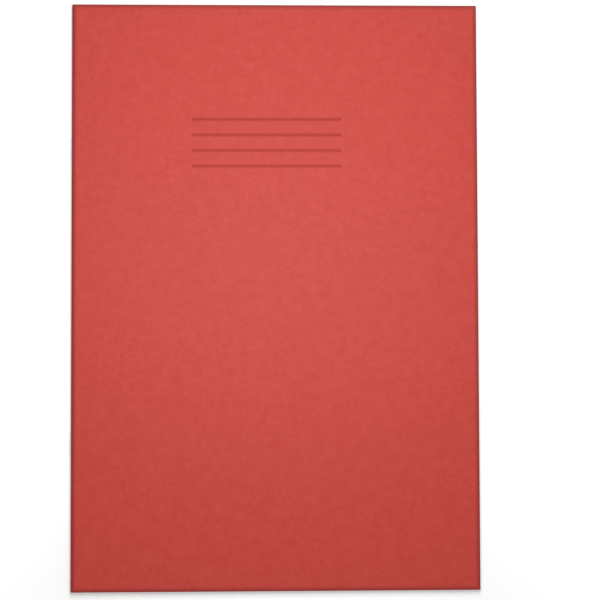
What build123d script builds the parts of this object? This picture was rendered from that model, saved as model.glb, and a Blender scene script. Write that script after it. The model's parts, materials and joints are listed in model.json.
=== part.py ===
"""Stapled exercise book, closed and lying on its back cover.

Frame: +X runs from the spine to the fore edge, +Y from tail to head, +Z up out of the front cover.
The origin is under the middle of the book, on the outer face of the back cover. Millimetres.

Every sheet and the cover fold round one common line, the crease axis, in nested half rings. Each
panel lies flat and tangent to its own ring, so the panels turn about the crease axis without meeting.
"""

from build123d import *
import os

# Closed book
BOOK_HEIGHT = 330.0
BOOK_WIDTH = 229.0
SHEET_COUNT = 10

# Paper, card and the air between them
PAPER_THICKNESS = 0.10
COVER_THICKNESS = 0.30
LEAF_GAP = 0.03

# Staples of round wire
STAPLE_SPACING = 165.0
CROWN_LENGTH = 13.0
WIRE_DIAMETER = 0.50
BEND_INSIDE_RADIUS = 0.08
TIP_GAP = 2.0
WIRE_CLEARANCE = 0.05
CREASE_CLEARANCE = 0.10
PANEL_CLEARANCE = 0.30
CROWN_SINK = 0.20

# Rings of the folds, from the wire in the crease out to the cover
WIRE_RADIUS = WIRE_DIAMETER / 2
WIRE_WAY_RADIUS = WIRE_RADIUS + WIRE_CLEARANCE
CREASE_RADIUS = WIRE_RADIUS + CREASE_CLEARANCE
SHEET_PITCH = PAPER_THICKNESS + LEAF_GAP
COVER_INNER_RADIUS = CREASE_RADIUS + SHEET_COUNT * SHEET_PITCH
SPINE_RADIUS = COVER_INNER_RADIUS + COVER_THICKNESS
CROWN_OFFSET = SPINE_RADIUS - CROWN_SINK + WIRE_RADIUS

# Crease axis: the book, with the crowns that stand out of its spine, is centred on the origin
OVERALL_WIDTH = BOOK_WIDTH + WIRE_DIAMETER - CROWN_SINK
AXIS_X = -OVERALL_WIDTH / 2 + CROWN_OFFSET + WIRE_RADIUS
AXIS_Z = SPINE_RADIUS

# A panel starts beside the staple legs and ends at the fore edge
PANEL_START = WIRE_RADIUS + PANEL_CLEARANCE
PANEL_END = BOOK_WIDTH - SPINE_RADIUS

CREASE = Pos(AXIS_X, 0, AXIS_Z)
STAPLE_CENTRES = (STAPLE_SPACING / 2, -STAPLE_SPACING / 2)


def sheet_radius(number):
    """Inner radius of a sheet's fold. Sheet 1 lies against the cover, the last one in the middle."""
    return CREASE_RADIUS + (SHEET_COUNT - number) * SHEET_PITCH


def panel(inner_radius, thickness, side):
    """Flat leaf or cover panel, tangent to its fold. Side is +1 for the front, -1 for the back."""
    length = PANEL_END - PANEL_START
    middle = Pos(PANEL_START + length / 2, 0, side * (inner_radius + thickness / 2))
    return CREASE * middle * Box(length, BOOK_HEIGHT, thickness)


def fold_profile(inner_radius, outer_radius):
    """Half ring with a short straight flange at each end, drawn across the spine."""
    start = PANEL_START
    outline = Curve() + [
        Line((start, outer_radius), (0, outer_radius)),
        ThreePointArc((0, outer_radius), (-outer_radius, 0), (0, -outer_radius)),
        Line((0, -outer_radius), (start, -outer_radius)),
        Line((start, -outer_radius), (start, -inner_radius)),
        Line((start, -inner_radius), (0, -inner_radius)),
        ThreePointArc((0, -inner_radius), (-inner_radius, 0), (0, inner_radius)),
        Line((0, inner_radius), (start, inner_radius)),
        Line((start, inner_radius), (start, outer_radius)),
    ]
    return Plane.XZ * make_face(outline)


def leg_holes(reach):
    """Rods where the staple legs pierce a fold, from outside it to the crease axis."""
    holes = Part()
    for centre in STAPLE_CENTRES:
        for side in (1, -1):
            place = Pos(-reach / 2, centre + side * CROWN_LENGTH / 2, 0) * Rot(0, 90, 0)
            holes += place * Cylinder(WIRE_WAY_RADIUS, reach)
    return holes


def crown_grooves():
    """Rods where the staple crowns are pressed into the card, along the outside of the spine."""
    grooves = Part()
    for centre in STAPLE_CENTRES:
        place = Pos(-CROWN_OFFSET, centre, 0) * Rot(90, 0, 0)
        grooves += place * Cylinder(WIRE_WAY_RADIUS, CROWN_LENGTH)
    return CREASE * grooves


def fold(inner_radius, thickness):
    """Folded strip that joins a front panel to its back panel, pierced for the staple legs."""
    outer_radius = inner_radius + thickness
    strip = extrude(fold_profile(inner_radius, outer_radius), BOOK_HEIGHT / 2, both=True)
    return CREASE * (strip - leg_holes(outer_radius + thickness))


def staple(centre):
    """Wire staple: crown along the spine, legs through the folds, ends clinched along the crease."""
    half = CROWN_LENGTH / 2
    tip = TIP_GAP / 2
    corners = [
        (0, tip),
        (0, half),
        (-CROWN_OFFSET, half),
        (-CROWN_OFFSET, -half),
        (0, -half),
        (0, -tip),
    ]
    wire = FilletPolyline(*corners, radius=WIRE_RADIUS + BEND_INSIDE_RADIUS)
    section = Plane(origin=wire @ 0, z_dir=wire % 0) * Circle(WIRE_RADIUS)
    return CREASE * Pos(0, centre, 0) * sweep(section, path=wire)


def cover():
    """Card cover: two panels and the spine fold between them."""
    return {
        "front_cover": panel(COVER_INNER_RADIUS, COVER_THICKNESS, 1),
        "back_cover": panel(COVER_INNER_RADIUS, COVER_THICKNESS, -1),
        "cover_spine": fold(COVER_INNER_RADIUS, COVER_THICKNESS) - crown_grooves(),
    }


def sheet(number):
    """Folded sheet of paper: two leaves and the fold between them."""
    name = f"sheet_{number:02d}"
    radius = sheet_radius(number)
    return {
        f"{name}_front_leaf": panel(radius, PAPER_THICKNESS, 1),
        f"{name}_back_leaf": panel(radius, PAPER_THICKNESS, -1),
        f"{name}_fold": fold(radius, PAPER_THICKNESS),
    }


def staples():
    """The two staples, head first."""
    head_centre, tail_centre = STAPLE_CENTRES
    return {"head_staple": staple(head_centre), "tail_staple": staple(tail_centre)}


nodes = cover()
for number in range(1, SHEET_COUNT + 1):
    nodes.update(sheet(number))
nodes.update(staples())

os.makedirs("parts", exist_ok=True)
for name, solid in nodes.items():
    export_step(solid, f"parts/{name}.step")
print(f"{len(nodes)} nodes, book {BOOK_WIDTH} x {BOOK_HEIGHT} x {2 * SPINE_RADIUS:.2f} mm")
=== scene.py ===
# %% [markdown]
# An exercise book is ten folded sheets of paper inside one folded card, held by two wire staples.
# The frame that is loaded here already holds every leaf, panel and fold at its real size, and it knows
# how they turn. This lesson gives that frame its looks: surfaces, finishes, light and a camera. Nothing
# is moved or resized, so each new surface takes its measures from the frame.

# %% Load the frame
import json
import math

import bpy
import numpy as np
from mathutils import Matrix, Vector


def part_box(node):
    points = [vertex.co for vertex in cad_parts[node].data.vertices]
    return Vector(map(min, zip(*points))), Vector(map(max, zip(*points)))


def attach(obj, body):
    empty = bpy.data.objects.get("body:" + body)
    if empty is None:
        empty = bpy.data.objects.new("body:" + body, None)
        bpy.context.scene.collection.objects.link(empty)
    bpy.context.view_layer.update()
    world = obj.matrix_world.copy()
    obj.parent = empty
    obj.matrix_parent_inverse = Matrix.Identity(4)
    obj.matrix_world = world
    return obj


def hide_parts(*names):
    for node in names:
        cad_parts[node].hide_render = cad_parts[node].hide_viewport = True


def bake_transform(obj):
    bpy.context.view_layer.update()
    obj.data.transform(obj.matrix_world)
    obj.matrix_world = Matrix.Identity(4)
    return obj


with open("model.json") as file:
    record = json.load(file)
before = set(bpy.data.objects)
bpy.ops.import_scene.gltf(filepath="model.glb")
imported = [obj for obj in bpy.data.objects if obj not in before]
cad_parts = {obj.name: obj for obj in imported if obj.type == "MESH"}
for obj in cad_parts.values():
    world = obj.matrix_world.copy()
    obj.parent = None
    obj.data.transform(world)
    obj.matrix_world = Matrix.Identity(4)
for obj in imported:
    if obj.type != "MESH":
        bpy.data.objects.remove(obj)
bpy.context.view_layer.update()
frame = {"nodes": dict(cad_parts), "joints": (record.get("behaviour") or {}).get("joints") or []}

# %% [markdown]
# All sheets and the card fold round one line inside the spine, the crease. Seen from the tail, the closed
# book is a stack of flat layers whose left ends run round the crease in nested half rings. The heights
# of those layers could be typed in again, but then a change of paper would break this script. Reading
# them from the frame keeps the two in step.

# %% Read the measures of the book
MM = 0.001

joints = {joint["name"]: joint for joint in frame["joints"]}
crease_x, _, crease_z = joints["book_opening"]["pos_m"]
sheet_names = sorted(name[:-len("_fold")] for name in frame["nodes"] if name.endswith("_fold"))
back_leaves = [name + "_back_leaf" for name in sheet_names]
front_leaves = [name + "_front_leaf" for name in reversed(sheet_names)]
layers = ["back_cover", *back_leaves, *front_leaves, "front_cover"]
lows, highs = np.array([[corner.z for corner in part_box(name)] for name in layers]).T

panel_low, panel_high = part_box("front_cover")
panel_start, fore_edge = panel_low.x, panel_high.x
tail, head = panel_low.y, panel_high.y
spine_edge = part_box("cover_spine")[0].x
print(f"book {(fore_edge - spine_edge) / MM:.1f} x {(head - tail) / MM:.1f} x {highs[-1] / MM:.2f} mm")

# %% [markdown]
# Paper in a closed book isn't evenly spaced. The folds hold the sheets apart at the spine, and the
# leaves sink together towards the fore edge, with a little more air in some places than in others. A
# solid block with lines painted on its edge would look much the same from far away, but here each sheet
# is a real surface, so the stack can be settled: every layer gets a second height, for the fore edge,
# and slides from the first to the second along its width. The order of the layers is kept, so settling
# pushes no leaf through another.

# %% Let the stack settle
LEAST_AIR = 0.004 * MM
LOOSE_AIR = 0.45 * MM
MIDDLE_AIR = 0.14 * MM
AIR_SEED = 11
AIR_EVENNESS = 0.7

loose = np.random.default_rng(AIR_SEED).gamma(AIR_EVENNESS, size=len(layers) - 1)
air = LEAST_AIR + LOOSE_AIR * loose / loose.sum()
air[len(sheet_names)] += MIDDLE_AIR
thickness = highs - lows
settled_lows = np.concatenate([[0.0], np.cumsum(thickness[:-1] + air)])
settled_highs = settled_lows + thickness
as_folded = np.stack([lows, highs], axis=1).ravel()
as_settled = np.stack([settled_lows, settled_highs], axis=1).ravel()
below_middle, above_middle = len(sheet_names), len(sheet_names) + 1
settled_middle = (settled_highs[below_middle] + settled_lows[above_middle]) / 2
print(f"fore edge {settled_highs[-1] / MM:.2f} mm thick, spine {highs[-1] / MM:.2f} mm")

# %% [markdown]
# The guillotine that trims a book presses its layers together, and the rim keeps a trace of it: within
# a millimetre or two of the cut edges the cover rolls down a little. The same function that settles the
# stack adds this, so card and paper follow each other.

# %% Settle points and press the cut edges
EDGE_REACH = 1.6 * MM
EDGE_PRESS = 0.07


def share_of_width(x):
    """How far x lies from the crease, 0, to the fore edge, 1."""
    return np.clip((x - crease_x) / (fore_edge - crease_x), 0, 1)


def settle(points):
    """Folded height plus width share times the way to the settled height, then drawn to the stack's
    middle by the edge press, which fades with the square of the way in from the nearest cut edge."""
    x, y, z = np.moveaxis(points, -1, 0)
    share = share_of_width(x)
    height = z + share * (np.interp(z, as_folded, as_settled) - z)
    middle = crease_z + share * (settled_middle - crease_z)
    to_edge = np.minimum.reduce([fore_edge - x, head - y, y - tail])
    press = EDGE_PRESS * np.clip(1 - to_edge / EDGE_REACH, 0, 1) ** 2
    return np.stack([x, y, middle + (height - middle) * (1 - press)], axis=-1)


print(f"edges pressed by up to {EDGE_PRESS * settled_highs[-1] / 2 / MM:.2f} mm on each side")

# %% [markdown]
# A folded strip is a profile carried along the spine: in along the back panel, round the half ring, out
# along the front panel. Blender's Solidify could give a single surface its thickness, but the thickness
# here is real, so both faces are worked out, one for each radius of the ring. The distance along the
# strip is kept too. It later tells the finishes where they are on the flat sheet, however it is folded.
#
# Round the fold a strip also slides along the spine by a hair, as no sheet is folded perfectly square.
# When the book is open, the folds crowd together, and without this slant their ends would lie in one
# plane. Faces that coincide render black.

# %% Profiles of folds and panels
FOLD_STEPS = 49
FOLD_SLANT = 0.05 * MM
EDGE_PLACES = 7
SPINE_PLACES = 45
half_fold = crease_x - spine_edge


def places(low, high, count, pressed_low=True):
    """Even places from low to high, with more of them close to the pressed edge at one end or both."""
    close = EDGE_REACH * np.linspace(0, 1, EDGE_PLACES)
    ends = [high - close]
    if pressed_low:
        ends.append(low + close)
    return np.unique(np.concatenate([np.linspace(low, high, count), *ends]))


def fold_face(radius, xs):
    """(x, z) of one face of a strip: back panel at crease height minus radius, half ring, front panel."""
    turn = np.linspace(0, np.pi, FOLD_STEPS)[1:-1]
    back = np.stack([xs[::-1], np.full_like(xs, crease_z - radius)], axis=-1)
    ring = np.stack([crease_x - radius * np.sin(turn), crease_z - radius * np.cos(turn)], axis=-1)
    front = np.stack([xs, np.full_like(xs, crease_z + radius)], axis=-1)
    return np.concatenate([back, ring, front])


def fold_distance(xs):
    """Distance along the strip from the spine's edge, in plan, negative on the back panel."""
    ring = half_fold * np.linspace(-1, 1, FOLD_STEPS)[1:-1]
    return np.concatenate([spine_edge - xs[::-1], ring, xs - spine_edge])


def along_spine(face, distance, ys):
    """The settled profile at every place along the spine: a grid of points, across by along. Round the
    fold it slides along the spine by the slant, in step with the distance."""
    x, z = (np.repeat(column[:, None], len(ys), axis=1) for column in face.T)
    slide = FOLD_SLANT * np.clip(distance / half_fold, -1, 1) / 2
    return settle(np.stack([x, slide[:, None] + ys, z], axis=-1))


sheet_ys = places(tail, head, SPINE_PLACES)
print(len(sheet_ys), "places along the spine,", FOLD_STEPS, "round each fold")

# %% [markdown]
# The two faces of a strip become one closed shell. Walking out over the outer face and back over the
# inner one gives a closed loop at each place along the spine. Neighbouring loops are joined by
# quads, and the two ends are closed by quads between the faces. The volume of the finished mesh is a
# good test: it has the right sign only if all faces point outwards.

# %% Close two faces into a shell
SHARP_ANGLE = math.radians(40)
CUBIC_CM = (10 * MM) ** 3


def shell_faces(rows, columns):
    """Quads round the loop of outer and inner rows, wrapping at its end, then quads that cap both ends."""
    index = np.arange(2 * rows * columns).reshape(2 * rows, columns)
    after = np.roll(index, -1, axis=0)
    round_loop = np.stack([index[:, :-1], after[:, :-1], after[:, 1:], index[:, 1:]], axis=-1)
    outer, inner = index[:rows], index[:rows - 1:-1]
    low = np.stack([outer[:-1, 0], inner[:-1, 0], inner[1:, 0], outer[1:, 0]], axis=-1)
    high = np.stack([outer[:-1, -1], outer[1:, -1], inner[1:, -1], inner[:-1, -1]], axis=-1)
    return np.concatenate([round_loop.reshape(-1, 4), low, high])


def volume(points, faces):
    """Each quad is two triangles. A sixth of the box product of a triangle's corners is the volume
    between it and the origin, signed by the way it faces, and the sum of all is the shell's."""
    first, second, third, fourth = (points[faces[:, corner]] for corner in range(4))
    halves = np.cross(second, third) + np.cross(third, fourth)
    return float((first * halves).sum() / 6)


def shell(name, outer, inner, distance, ys, material):
    """Mesh between two grids of points, with its place on the flat sheet as an attribute in millimetres:
    distance from the spine's edge, height above the tail, and +1 on the outer face or -1 on the inner."""
    rows, columns = outer.shape[:2]
    points = np.concatenate([outer, inner[::-1]]).reshape(-1, 3)
    faces = shell_faces(rows, columns)
    across = np.concatenate([distance, distance[::-1]])[:, None] / MM
    side = np.repeat([1.0, -1.0], rows)[:, None]
    flat = np.stack(np.broadcast_arrays(across, (ys - tail) / MM, side), axis=-1)

    mesh = bpy.data.meshes.new(name)
    mesh.from_pydata(points.tolist(), [], faces.tolist())
    mesh.attributes.new("flat_mm", "FLOAT_VECTOR", "POINT").data.foreach_set("vector", flat.ravel())
    mesh.polygons.foreach_set("use_smooth", np.ones(len(faces), dtype=bool))
    mesh.set_sharp_from_angle(angle=SHARP_ANGLE)
    mesh.materials.append(material)
    piece = bpy.data.objects.new(name, mesh)
    bpy.context.scene.collection.objects.link(piece)
    print(f"{name}: {len(faces)} faces, {volume(points, faces) / CUBIC_CM:.2f} cm3")
    return piece


print(f"shells keep edges over {math.degrees(SHARP_ANGLE):.0f} degrees sharp")

# %% [markdown]
# Finishes are built from nodes. A few helpers keep that short: one feeds a socket from a value or from
# another node, the others place the nodes that are used most.

# %% Helpers for nodes
def feed(tree, socket, value):
    """Links the socket to another node's output, or sets its value."""
    if isinstance(value, bpy.types.NodeSocket):
        tree.links.new(value, socket)
    else:
        socket.default_value = value


def place(tree, kind, inputs=None, **settings):
    """New node with its settings and its inputs, by name or number."""
    node = tree.nodes.new(kind)
    for name, value in settings.items():
        setattr(node, name, value)
    for name, value in (inputs or {}).items():
        feed(tree, node.inputs[name], value)
    return node


def maths(tree, operation, *values):
    """One arithmetic step."""
    return place(tree, "ShaderNodeMath", dict(enumerate(values)), operation=operation).outputs[0]


def ease(tree, value, low, high, at_low=0.0, at_high=1.0):
    """Smooth step from at_low to at_high as the value goes from low to high."""
    inputs = {"Value": value, "From Min": low, "From Max": high, "To Min": at_low, "To Max": at_high}
    return place(tree, "ShaderNodeMapRange", inputs, interpolation_type="SMOOTHSTEP").outputs["Result"]


print("node helpers ready")

# %% [markdown]
# Two more helpers are for colours, and one is for node groups. Blender mixes light in linear values,
# but colours are easiest to judge as they look on a screen, so they are written that way and converted.
# The Mix node has a set of sockets for each kind of data, all with the same names, so the sockets for
# colours are picked by number.

# %% Helpers for colours and groups
MIX_SHARE, MIX_FIRST, MIX_SECOND, MIX_RESULT = 0, 6, 7, 2
VALUE, VECTOR = "NodeSocketFloat", "NodeSocketVector"


def mix(tree, share, first, second):
    """First colour where share is 0, second colour where it is 1."""
    inputs = {MIX_SHARE: share, MIX_FIRST: first, MIX_SECOND: second}
    return place(tree, "ShaderNodeMix", inputs, data_type="RGBA").outputs[MIX_RESULT]


def colour(red, green, blue):
    """Linear colour of a screen colour from 0 to 255: the sRGB curve, a short straight line and then a
    power, is undone for each channel."""
    screen = np.array([red, green, blue]) / 255
    linear = np.where(screen <= 0.04045, screen / 12.92, ((screen + 0.055) / 1.055) ** 2.4)
    return (*linear.tolist(), 1.0)


def new_group(name, inputs, outputs):
    """Empty node group with named sockets. Returns its tree, its input sockets and its output sockets."""
    group = bpy.data.node_groups.new(name, "ShaderNodeTree")
    for label, kind in inputs.items():
        group.interface.new_socket(label, in_out="INPUT", socket_type=kind)
    for label in outputs:
        group.interface.new_socket(label, in_out="OUTPUT", socket_type=VALUE)
    return group, group.nodes.new("NodeGroupInput").outputs, group.nodes.new("NodeGroupOutput").inputs


WHITE = colour(255, 255, 255)
print("colour and group helpers ready")

# %% [markdown]
# Card and paper are both felted from wood pulp. Where the pulp is thicker the sheet is a shade deeper,
# in soft clouds of many sizes, from about a centimetre down to half a millimetre, and single fibres lie
# over that in all directions. Both finishes need this, each at its own scale, so it is one node group: a
# cloud noise whose finer layers are as strong as its coarse ones, and two stretched noises laid
# crosswise whose crests are the fibres.

# %% Pulp: clouds and fibres
FIBRE_SLENDERNESS = 7.0
FIBRE_DETAIL = 2.0
FIBRE_WANDER = 0.8
FIBRE_CREST = (0.55, 0.75)
FIBRE_RELIEF = 0.5
CLOUD_DETAIL = 4.0
CLOUD_ROUGHNESS = 1.0
CLOUD_RANGE = (0.3, 0.7)


def make_pulp():
    """Cloud is soft noise. Fibre is the higher of two noises stretched across each other, cut to its
    crests. Height adds them for the bump."""
    inputs = {"Place": VECTOR, "Cloud Size": VALUE, "Fibre Length": VALUE}
    tree, given, result = new_group("Pulp", inputs, ("Cloud", "Fibre", "Height"))
    fibre_scale = maths(tree, "DIVIDE", 1.0, given["Fibre Length"])
    fibres = []
    for stretch in ((1, FIBRE_SLENDERNESS, 1), (FIBRE_SLENDERNESS, 1, 1)):
        drawn = place(tree, "ShaderNodeVectorMath", {0: given["Place"], 1: stretch}, operation="MULTIPLY")
        inputs = {"Vector": drawn.outputs[0], "Scale": fibre_scale}
        inputs |= {"Detail": FIBRE_DETAIL, "Distortion": FIBRE_WANDER}
        fibres.append(place(tree, "ShaderNodeTexNoise", inputs).outputs[0])
    fibre = ease(tree, maths(tree, "MAXIMUM", *fibres), *FIBRE_CREST)
    inputs = {"Vector": given["Place"], "Scale": maths(tree, "DIVIDE", 1.0, given["Cloud Size"])}
    inputs |= {"Detail": CLOUD_DETAIL, "Roughness": CLOUD_ROUGHNESS}
    cloud = ease(tree, place(tree, "ShaderNodeTexNoise", inputs).outputs[0], *CLOUD_RANGE)
    height = maths(tree, "ADD", maths(tree, "MULTIPLY", fibre, FIBRE_RELIEF), cloud)
    for label, value in (("Cloud", cloud), ("Fibre", fibre), ("Height", height)):
        feed(tree, result[label], value)
    return tree


pulp = make_pulp()
print("group:", pulp.name)

# %% [markdown]
# The cover carries four plain rules for a name, and the lower half of each page is ruled for large
# writing. Both are the same thing at different sizes, evenly spaced lines of ink, so they share a group.
# Lines could be thin strips of geometry, but ink has no thickness. A mask is enough: find the nearest
# line, measure how far it is, and keep what is within half a line's width.

# %% Ruled lines
def make_ruled_lines():
    """Nearest line is the rounded count of pitches below the first line, held between the first and the
    last. Ink falls off over the bleed, half of it inside the line's width, and stops at both ends."""
    inputs = {"Place": VECTOR, "First": VALUE, "Pitch": VALUE, "Last": VALUE}
    inputs |= {"Width": VALUE, "Bleed": VALUE, "From": VALUE, "To": VALUE}
    tree, given, result = new_group("Ruled lines", inputs, ("Ink",))
    parts = place(tree, "ShaderNodeSeparateXYZ", {0: given["Place"]}).outputs
    below = maths(tree, "DIVIDE", maths(tree, "SUBTRACT", given["First"], parts["Y"]), given["Pitch"])
    line = maths(tree, "MAXIMUM", maths(tree, "ROUND", below), 0.0)
    line = maths(tree, "MINIMUM", line, given["Last"])
    pitches_off = maths(tree, "ABSOLUTE", maths(tree, "SUBTRACT", below, line))
    off = maths(tree, "MULTIPLY", pitches_off, given["Pitch"])
    full = maths(tree, "DIVIDE", maths(tree, "SUBTRACT", given["Width"], given["Bleed"]), 2.0)
    none = maths(tree, "DIVIDE", maths(tree, "ADD", given["Width"], given["Bleed"]), 2.0)
    ink = ease(tree, off, full, none, 1.0, 0.0)
    after = maths(tree, "GREATER_THAN", parts["X"], given["From"])
    before = maths(tree, "LESS_THAN", parts["X"], given["To"])
    feed(tree, result["Ink"], maths(tree, "MULTIPLY", ink, maths(tree, "MULTIPLY", after, before)))
    return tree


ruled_lines = make_ruled_lines()
print("group:", ruled_lines.name)

# %% [markdown]
# Card and paper are both a touch deeper along the rim. On the card this is painted shade; the paper is
# only a little greyer along its rim. The group measures the distance to the nearest cut edge.

# %% Cut edges
BOOK_WIDTH_MM = (fore_edge - spine_edge) / MM
BOOK_HEIGHT_MM = (head - tail) / MM


def make_cut_edges():
    """Least of the distances to fore edge, head and tail, turned into a mask that fades over the reach."""
    inputs = {"Place": VECTOR, "Width": VALUE, "Height": VALUE, "Reach": VALUE}
    tree, given, result = new_group("Cut edges", inputs, ("Edge",))
    parts = place(tree, "ShaderNodeSeparateXYZ", {0: given["Place"]}).outputs
    fore = maths(tree, "SUBTRACT", given["Width"], maths(tree, "ABSOLUTE", parts["X"]))
    top = maths(tree, "SUBTRACT", given["Height"], parts["Y"])
    nearest = maths(tree, "MINIMUM", fore, maths(tree, "MINIMUM", top, parts["Y"]))
    feed(tree, result["Edge"], ease(tree, nearest, 0.0, given["Reach"], 1.0, 0.0))
    return tree


cut_edges = make_cut_edges()
print("group:", cut_edges.name)

# %% [markdown]
# A material starts the same way each time: a Principled shader, and the place on the flat sheet that the
# shells carry. The groups are then set in with their own values.

# %% Start a material
def new_material(name, **constants):
    """Material with one Principled shader whose constant sockets are set here. Returns the material, its
    tree and the shader's inputs."""
    material = bpy.data.materials.new(name)
    material.use_nodes = True
    tree = material.node_tree
    shader = tree.nodes["Principled BSDF"].inputs
    for label, value in constants.items():
        shader[label.replace("_", " ")].default_value = value
    return material, tree, shader


def use_group(tree, group, **values):
    """The group placed in a material, with its inputs by name."""
    node = place(tree, "ShaderNodeGroup", node_tree=group)
    for label, value in values.items():
        feed(tree, node.inputs[label.replace("_", " ")], value)
    return node.outputs


def flat_place(tree):
    """Place on the flat sheet, in millimetres."""
    return place(tree, "ShaderNodeAttribute", attribute_name="flat_mm").outputs["Vector"]


def bump(tree, height, strength, depth):
    """Normal pushed about by a height map."""
    inputs = {"Height": height, "Strength": strength, "Distance": depth}
    return place(tree, "ShaderNodeBump", inputs).outputs["Normal"]


print("material helpers ready")

# %% [markdown]
# The cover is matt card, dyed red right through. It isn't one flat red: the pulp shows as soft clouds,
# the rim and the bend of the spine are painted darker as shade, and the ink of the name rules is a darker
# red because it soaks in. The rules are printed only on the outside of the front panel, which is where the
# distance from the spine is positive and the side is +1. Lengths on the flat sheet are in millimetres.

# %% Red card
CARD_DEEP = colour(198, 61, 51)
CARD_PALE = colour(207, 72, 62)
CARD_FIBRE = colour(215, 92, 83)
# Painted shade: the deeper red laid on the rim and round the bend of the spine.
CARD_RIM_SHADE = colour(146, 44, 38)
CARD_INK = colour(174, 42, 27)
CARD_CLOUD_SIZE = 7.0
CARD_FIBRE_LENGTH = 6.0
CARD_FIBRE_SHARE = 0.10
CARD_RIM_REACH = 3.2
CARD_RIM_SHARE = 0.85
CARD_SHINE = 0.28
CARD_ROUGHNESS = (0.54, 0.62)
CARD_BUMP = 0.2
CARD_RELIEF = 0.05 * MM
RULE_LEFT = 67.8
RULE_LENGTH = 84.2
RULE_BELOW_HEAD = 65.2
RULE_PITCH = 8.83
RULE_COUNT = 4
RULE_WIDTH = 1.6
RULE_BLEED = 1.6
# Painted shade round the spine's bend fades out between these distances from the spine's edge, in
# millimetres.
SPINE_SHADE_FROM = 0.9
SPINE_SHADE_TO = 3.6


def make_card():
    """Cloud mixes two reds, fibres lighten it, painted shade darkens rim and spine bend, ink darkens the
    rules.
    """
    card, tree, shader = new_material("red_card", Specular_IOR_Level=CARD_SHINE)
    flat = flat_place(tree)
    felt = use_group(tree, pulp, Place=flat, Cloud_Size=CARD_CLOUD_SIZE, Fibre_Length=CARD_FIBRE_LENGTH)
    rules = use_group(
        tree, ruled_lines, Place=flat, First=BOOK_HEIGHT_MM - RULE_BELOW_HEAD, Pitch=RULE_PITCH,
        Last=RULE_COUNT - 1, Width=RULE_WIDTH, Bleed=RULE_BLEED,
        From=RULE_LEFT, To=RULE_LEFT + RULE_LENGTH)
    # Painted shade: this mask darkens the red along the cut edges.
    rim = use_group(
        tree, cut_edges, Place=flat, Width=BOOK_WIDTH_MM, Height=BOOK_HEIGHT_MM, Reach=CARD_RIM_REACH)
    parts = place(tree, "ShaderNodeSeparateXYZ", {0: flat}).outputs
    outside = maths(tree, "GREATER_THAN", parts["Z"], 0.0)
    red = mix(tree, felt["Cloud"], CARD_DEEP, CARD_PALE)
    red = mix(tree, maths(tree, "MULTIPLY", felt["Fibre"], CARD_FIBRE_SHARE), red, CARD_FIBRE)
    # Painted shade: the red darkens round the bend of the spine, joined with the rim's painted shade.
    spine_shade = ease(tree, maths(tree, "ABSOLUTE", parts["X"]), SPINE_SHADE_FROM, SPINE_SHADE_TO, 1.0, 0.0)
    painted_shade = maths(tree, "MAXIMUM", rim["Edge"], spine_shade)
    red = mix(tree, maths(tree, "MULTIPLY", painted_shade, CARD_RIM_SHARE), red, CARD_RIM_SHADE)
    red = mix(tree, maths(tree, "MULTIPLY", rules["Ink"], outside), red, CARD_INK)
    feed(tree, shader["Base Color"], red)
    feed(tree, shader["Roughness"], ease(tree, felt["Fibre"], 0.0, 1.0, *CARD_ROUGHNESS))
    feed(tree, shader["Normal"], bump(tree, felt["Height"], CARD_BUMP, CARD_RELIEF))
    return card


card = make_card()
print("material:", card.name)

# %% [markdown]
# The pages are plain white writing paper. The top half of a page is left blank for a picture, and the
# lower half is ruled in pale grey with wide lines for a child's writing.

# %% Ruled paper
PAPER_SHADE = colour(236, 235, 231)
PAPER_LIGHT = colour(243, 242, 239)
PAPER_RIM = colour(230, 228, 222)
PAPER_FEINT = colour(168, 174, 184)
PAPER_CLOUD_SIZE = 12.0
PAPER_FIBRE_LENGTH = 1.4
PAPER_RIM_REACH = 0.8
PAPER_RIM_SHARE = 0.6
PAPER_SHINE = 0.25
PAPER_ROUGHNESS = 0.85
PAPER_BUMP = 0.15
PAPER_RELIEF = 0.02 * MM
FEINT_PITCH = 15.0
FEINT_LINES = 11
FEINT_WIDTH = 0.7
FEINT_BLEED = 0.4
FEINT_SHARE = 0.8


def make_paper():
    """Cloud mixes two whites, the rim is a little greyer, and feint lines run from fold to fore edge."""
    paper, tree, shader = new_material(
        "ruled_paper", Roughness=PAPER_ROUGHNESS, Specular_IOR_Level=PAPER_SHINE)
    flat = flat_place(tree)
    felt = use_group(tree, pulp, Place=flat, Cloud_Size=PAPER_CLOUD_SIZE, Fibre_Length=PAPER_FIBRE_LENGTH)
    feint = use_group(
        tree, ruled_lines, Place=flat, First=BOOK_HEIGHT_MM / 2, Pitch=FEINT_PITCH,
        Last=FEINT_LINES - 1, Width=FEINT_WIDTH, Bleed=FEINT_BLEED,
        From=-BOOK_WIDTH_MM, To=BOOK_WIDTH_MM)
    rim = use_group(
        tree, cut_edges, Place=flat, Width=BOOK_WIDTH_MM, Height=BOOK_HEIGHT_MM, Reach=PAPER_RIM_REACH)
    white = mix(tree, felt["Cloud"], PAPER_SHADE, PAPER_LIGHT)
    white = mix(tree, maths(tree, "MULTIPLY", rim["Edge"], PAPER_RIM_SHARE), white, PAPER_RIM)
    white = mix(tree, maths(tree, "MULTIPLY", feint["Ink"], FEINT_SHARE), white, PAPER_FEINT)
    feed(tree, shader["Base Color"], white)
    feed(tree, shader["Normal"], bump(tree, felt["Height"], PAPER_BUMP, PAPER_RELIEF))
    return paper


paper = make_paper()
print("material:", paper.name)

# %% [markdown]
# Stitching wire is mild steel with a thin coat of zinc. Drawing it through a die leaves faint lines
# along the wire, and the zinc is mottled and half dull. The wire runs mostly along the spine, so a noise
# stretched in that direction gives the drawn lines, and a second one the mottling. The wire is too
# simple to need a new mesh: the frame's own staples get the finish.

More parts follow.
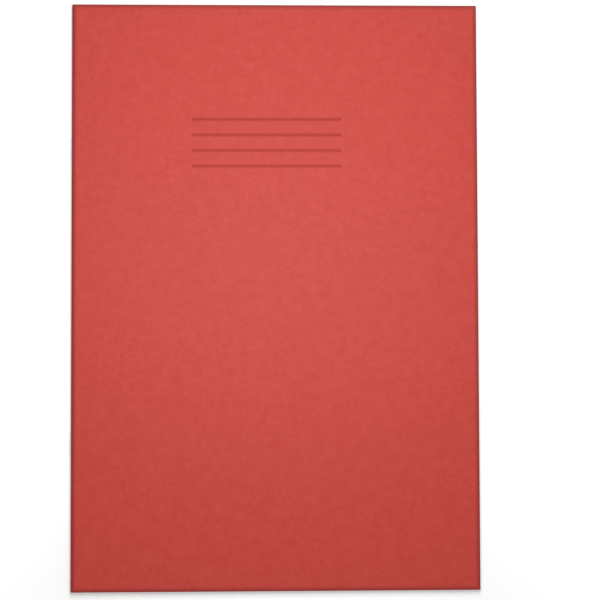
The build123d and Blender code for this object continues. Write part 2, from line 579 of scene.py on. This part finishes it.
# %% Zinc-coated wire
ZINC_PALE = colour(206, 208, 210)
ZINC_DULL = colour(150, 153, 157)
ZINC_ROUGHNESS = (0.28, 0.46)
LINES_PER_METRE = 9000.0
LINE_STRETCH = (1.0, 0.06, 1.0)
LINE_BUMP = 0.3
LINE_RELIEF = 0.01 * MM
SPOTS_PER_METRE = 1800.0
SPOT_DETAIL = 3.0
SPOT_RANGE = (0.35, 0.65)
STAPLES = ("head_staple", "tail_staple")


def make_wire():
    """Mottling mixes two zinc greys and the roughness; lines drawn along the spine lift the bump."""
    wire, tree, shader = new_material("zinc_wire", Metallic=1.0)
    own = place(tree, "ShaderNodeTexCoord").outputs["Object"]
    drawn = place(tree, "ShaderNodeMapping", {"Vector": own, "Scale": LINE_STRETCH}).outputs[0]
    lines = place(tree, "ShaderNodeTexNoise", {"Vector": drawn, "Scale": LINES_PER_METRE}).outputs[0]
    spots = {"Vector": own, "Scale": SPOTS_PER_METRE, "Detail": SPOT_DETAIL}
    dull = ease(tree, place(tree, "ShaderNodeTexNoise", spots).outputs[0], *SPOT_RANGE)
    feed(tree, shader["Base Color"], mix(tree, dull, ZINC_PALE, ZINC_DULL))
    feed(tree, shader["Roughness"], ease(tree, dull, 0.0, 1.0, *ZINC_ROUGHNESS))
    feed(tree, shader["Normal"], bump(tree, lines, LINE_BUMP, LINE_RELIEF))
    return wire


wire = make_wire()
for name in STAPLES:
    frame["nodes"][name].data.materials.clear()
    frame["nodes"][name].data.materials.append(wire)
print("material:", wire.name, "on", *STAPLES)

# %% [markdown]
# Now the sheets. Each is one closed shell, back leaf, fold and front leaf together, because on the real
# book it is one piece of paper. When the book opens, its back leaf follows one body and its front leaf
# another, and the fold has to bend between them.

# %% Fold the sheets
LEAF_PLACES = 17

leaf_xs = places(crease_x, fore_edge, LEAF_PLACES, pressed_low=False)


def make_sheet(number, name):
    """Shell of one folded sheet between the radii of its front leaf."""
    back_layer, front_layer = number, len(layers) - 1 - number
    inner_radius, outer_radius = (z[front_layer] - crease_z for z in (lows, highs))
    distance = fold_distance(leaf_xs)
    faces = (fold_face(radius, leaf_xs) for radius in (outer_radius, inner_radius))
    outer, inner = (along_spine(face, distance, sheet_ys) for face in faces)
    sheet = shell(name + "_paper", outer, inner, distance, sheet_ys, paper)
    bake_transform(sheet)
    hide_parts(name + "_back_leaf", name + "_front_leaf", name + "_fold")


for number, name in enumerate(sheet_names, start=1):
    make_sheet(number, name)

# %% [markdown]
# The cover is one card on the bench, but its panels turn apart: the back panel stays, the spine bends as
# the book opens, and the front panel can also be opened alone. A blend spans one joint, so the card is
# made as three shells that meet edge to edge beside the fold, with one unbroken place on the flat sheet,
# so that clouds and rim run on across the joins.
#
# The front panel opens by exactly half a turn, and half a turn can be made either way round. Both
# panels get extra places over a narrow strip beside the fold.

# %% Fold the card
BEND_WIDTH = 0.9 * MM
BEND_STEPS = 25
PANEL_PLACES = 33

cover_inner, cover_outer = lows[-1] - crease_z, highs[-1] - crease_z
bend_xs = panel_start + np.linspace(0, BEND_WIDTH, BEND_STEPS)
panel_xs = np.union1d(bend_xs, places(panel_start, fore_edge, PANEL_PLACES, pressed_low=False))


def panel_face(radius, side):
    """(x, z) of one face of a flat panel, run in the same direction as along the whole folded strip."""
    xs = panel_xs[::side]
    return np.stack([xs, np.full_like(xs, crease_z + side * radius)], axis=-1)


def make_panel(name, side):
    """Shell of one cover panel. Side is +1 for the front, -1 for the back."""
    distance = side * (panel_xs[::side] - spine_edge)
    faces = (panel_face(radius, side) for radius in (cover_outer, cover_inner))
    outer, inner = (along_spine(face, distance, sheet_ys) for face in faces)
    panel = shell(name + "_card", outer, inner, distance, sheet_ys, card)
    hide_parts(name)
    return panel


front_card = make_panel("front_cover", 1)
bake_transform(front_card)
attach(make_panel("back_cover", -1), "back_cover")

# %% [markdown]
# The stapling machine pulls the wire tight, so each crown lies in a groove that it has pressed into the
# card. A groove is a smooth dip in the outer face of the spine: deepest under the wire, fading out round
# the fold and just past the two legs. The grid gets more places there, because a dip needs points to
# bend through.

# %% Round the spine and press in the crowns
GROOVE_ROOM = 0.03 * MM
GROOVE_HALF_WIDTH = 0.34 * MM
GROOVE_END = 0.6 * MM
GROOVE_PLACES = 7
FLANGE_PLACES = 4

crowns = [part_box(name) for name in STAPLES]
crown_low, crown_high = crowns[0]
wire_diameter = crown_high.z - crown_low.z
crown_depth = crown_low.x + wire_diameter - spine_edge + GROOVE_ROOM
crown_ends = [corner.y for crown in crowns for corner in crown]
near_ends = np.linspace(-GROOVE_END, GROOVE_END, GROOVE_PLACES)
spine_ys = np.unique(np.concatenate([sheet_ys, *(end + near_ends for end in crown_ends)]))
flange_xs = np.linspace(crease_x, panel_start, FLANGE_PLACES)


def press_crowns(points):
    """Moves the outer face in, by the crown's depth times a bell round the fold's apex and a window along
    each crown, which rises and falls in a smooth step at the legs."""
    x, y, z = np.moveaxis(points, -1, 0)
    bell = np.exp(-((z - crease_z) / GROOVE_HALF_WIDTH) ** 2) * (x < crease_x)
    window = np.zeros_like(y)
    for low, high in crowns:
        inside = np.minimum(y - low.y, high.y - y) / GROOVE_END
        step = np.clip((inside + 1) / 2, 0, 1)
        window = np.maximum(window, step * step * (3 - 2 * step))
    return np.stack([x + crown_depth * bell * window, y, z], axis=-1)


spine_distance = fold_distance(flange_xs)
spine_outer = press_crowns(along_spine(fold_face(cover_outer, flange_xs), spine_distance, spine_ys))
spine_inner = along_spine(fold_face(cover_inner, flange_xs), spine_distance, spine_ys)
spine_card = shell("cover_spine_card", spine_outer, spine_inner, spine_distance, spine_ys, card)
print(f"crowns pressed in by {crown_depth / MM:.2f} mm")
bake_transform(spine_card)
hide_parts("cover_spine")

# %% [markdown]
# The book lies on white. A floor lit like the book would turn grey away from the lamp, and more light
# would spoil the red. So the floor keeps its honest shading and adds a glow that only the camera and
# mirror-like surfaces see. Unshaded floor then reaches white, and the shadow under the edges stays. The
# glow is weaker close to the book, where the lamps are strong. The floor lies a hair below the book,
# because the staples turn under it when the book is open.

# %% White floor
FLOOR_DROP = 0.6 * MM
FLOOR_HALF = 3.0
FLOOR_WHITE = colour(248, 248, 248)
NEAR_GLOW = 0.30
FAR_GLOW = 0.80
GLOW_PER_METRE = 1.7


def seen_directly(tree):
    """1 for rays from the camera, from mirrors and through glass, 0 for the light that falls on things."""
    light_path = place(tree, "ShaderNodeLightPath").outputs
    seen = maths(tree, "MAXIMUM", light_path["Is Camera Ray"], light_path["Is Glossy Ray"])
    return maths(tree, "MAXIMUM", seen, light_path["Is Transmission Ray"])


def make_floor_material():
    """Matt white plus a glow for camera, mirror and glass rays. The glow grows evenly with the distance
    from the closed book's outline, because the lamps reach less far, and then stays."""
    floor, tree, shader = new_material(
        "white_floor", Base_Color=FLOOR_WHITE, Roughness=1.0, Specular_IOR_Level=0.0, Emission_Color=WHITE)
    past = place(tree, "ShaderNodeTexCoord").outputs["Object"]
    half_book = ((fore_edge - spine_edge) / 2, (head - tail) / 2, FLOOR_DROP)
    for operation, other in (("ABSOLUTE", (0, 0, 0)), ("SUBTRACT", half_book), ("MAXIMUM", (0, 0, 0))):
        past = place(tree, "ShaderNodeVectorMath", {0: past, 1: other}, operation=operation).outputs[0]
    away = place(tree, "ShaderNodeVectorMath", {0: past}, operation="LENGTH").outputs["Value"]
    grown = maths(tree, "MULTIPLY_ADD", away, GLOW_PER_METRE, NEAR_GLOW)
    glow = maths(tree, "MINIMUM", grown, FAR_GLOW)
    feed(tree, shader["Emission Strength"], maths(tree, "MULTIPLY", seen_directly(tree), glow))
    return floor


corners = FLOOR_HALF * np.array([[-1, -1, 0], [1, -1, 0], [1, 1, 0], [-1, 1, 0]]) - [0, 0, FLOOR_DROP]
floor_mesh = bpy.data.meshes.new("floor")
floor_mesh.from_pydata(corners.tolist(), [], [(0, 1, 2, 3)])
floor_mesh.materials.append(make_floor_material())
floor = bpy.data.objects.new("floor", floor_mesh)
bpy.context.scene.collection.objects.link(floor)
print(f"floor {FLOOR_DROP / MM:.1f} mm below the book")

# %% [markdown]
# A soft lamp hangs low above the upper half of the cover, so the card is brightest there and falls off
# gently to all sides. A smaller one beyond the head makes the tail edge throw a short shadow.

# %% Lamps
SOFTBOX_PLACE = (0.0, 0.045, 0.39)
SOFTBOX_AIM = (0.0, 0.045, 0.0)
KEY_PLACE = (0.06, 0.46, 0.64)
KEY_AIM = (0.0, 0.0, 0.0)


def hang_lamp(name, spot, aim, size, power):
    """Square lamp that faces the point it is aimed at and isn't itself in the picture."""
    lamp = bpy.data.lights.new(name, "AREA")
    lamp.size = size
    lamp.energy = power
    hung = bpy.data.objects.new(name, lamp)
    hung.location = spot
    hung.rotation_euler = (Vector(aim) - Vector(spot)).to_track_quat("-Z", "Y").to_euler()
    hung.visible_camera = False
    bpy.context.scene.collection.objects.link(hung)
    print(f"{name}: {power} W at {spot}")


hang_lamp("softbox", SOFTBOX_PLACE, SOFTBOX_AIM, size=0.18, power=0.83)
hang_lamp("key_lamp", KEY_PLACE, KEY_AIM, size=0.16, power=1.35)

# %% [markdown]
# The sky fills in from all round. It lights the book only faintly, and is white where the camera or a
# shiny surface looks at it.

# %% Sky
SKY_STRENGTH = 0.30

sky = bpy.data.worlds.new("sky")
sky.use_nodes = True
background = sky.node_tree.nodes["Background"].inputs
background["Color"].default_value = WHITE
white_when_seen = ease(sky.node_tree, seen_directly(sky.node_tree), 0.0, 1.0, SKY_STRENGTH, 1.0)
feed(sky.node_tree, background["Strength"], white_when_seen)
bpy.context.scene.world = sky
print(f"sky {SKY_STRENGTH}")

# %% [markdown]
# The camera looks almost straight down, with a long lens from about a metre. Its place and turn were
# found by matching the corners of the cover.

# %% Camera
LENS_MM = 100.0
SENSOR_MM = 36.0
CAMERA_PLACE = (-0.0125, -0.0454, 0.9397)
CAMERA_TURN_DEGREES = (2.637, -1.615, -0.181)

camera_data = bpy.data.cameras.new("camera")
camera_data.lens = LENS_MM
camera_data.sensor_width = SENSOR_MM
camera = bpy.data.objects.new("camera", camera_data)
camera.location = CAMERA_PLACE
camera.rotation_euler = [math.radians(angle) for angle in CAMERA_TURN_DEGREES]
bpy.context.scene.collection.objects.link(camera)
bpy.context.scene.camera = camera
bpy.context.scene.view_settings.view_transform = "Standard"
print(f"camera {camera.location.z:.2f} m above the table")
